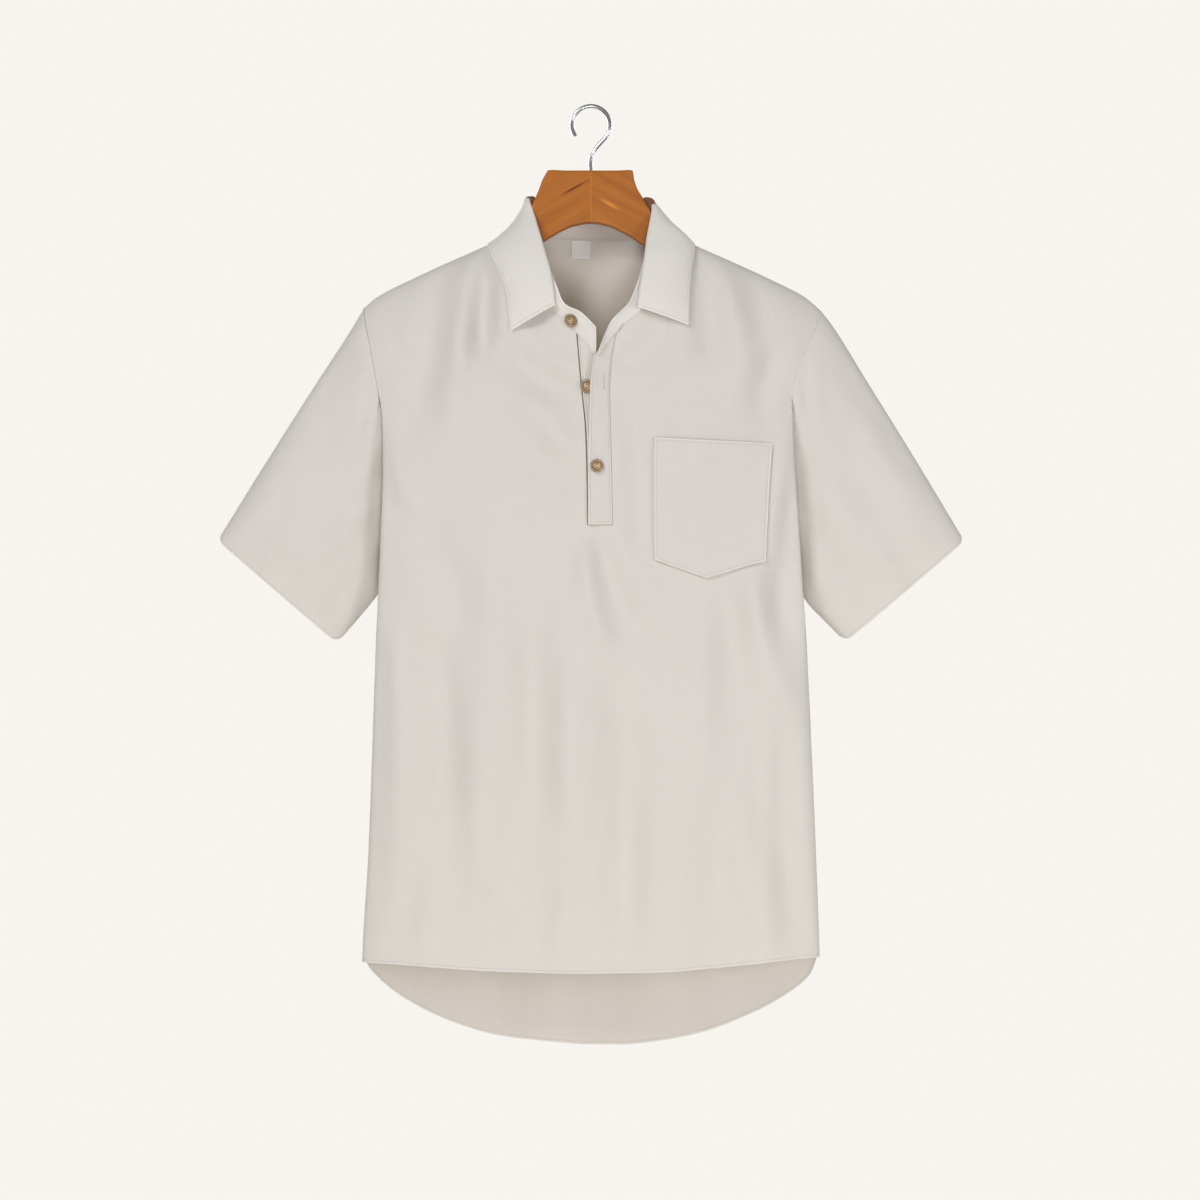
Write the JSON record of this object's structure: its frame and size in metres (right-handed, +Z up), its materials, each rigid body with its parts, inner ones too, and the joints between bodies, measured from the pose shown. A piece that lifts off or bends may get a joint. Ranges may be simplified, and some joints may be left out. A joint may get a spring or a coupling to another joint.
{
  "type": "short-sleeve popover shirt on wooden hanger",
  "caption": "Loose off-white woven short-sleeve shirt with an open collar, half placket, chest pocket and rounded long back tail, hanging on a varnished wooden hanger with a wire hook.",
  "frame": {"origin": "inside top of the hanger's hook, where it rests on a rail", "axes": "+Z up, the shirt's front faces -Y, +X to the right when looking at the front"},
  "size_m": [0.7435, 0.1033, 0.9446],
  "materials": {
    "cloth": "matt plain weave, off-white",
    "label": "smooth white ribbon",
    "button": "satin horn-like brown",
    "wood": "clear varnish, semi-gloss",
    "hook": "bright plated wire"
  },
  "bodies": {
    "root": {"front": "cloth", "back": "cloth", "sleeve_left": "cloth", "sleeve_right": "cloth", "placket_under": "cloth", "placket_over": "cloth", "pocket": "cloth", "collar_stand": "cloth", "collar_leaf": "cloth", "neck_label": "label", "button_stand": "button", "button_middle": "button", "button_lowest": "button", "hanger": "wood", "hook": "hook"}
  },
  "joints": []
}
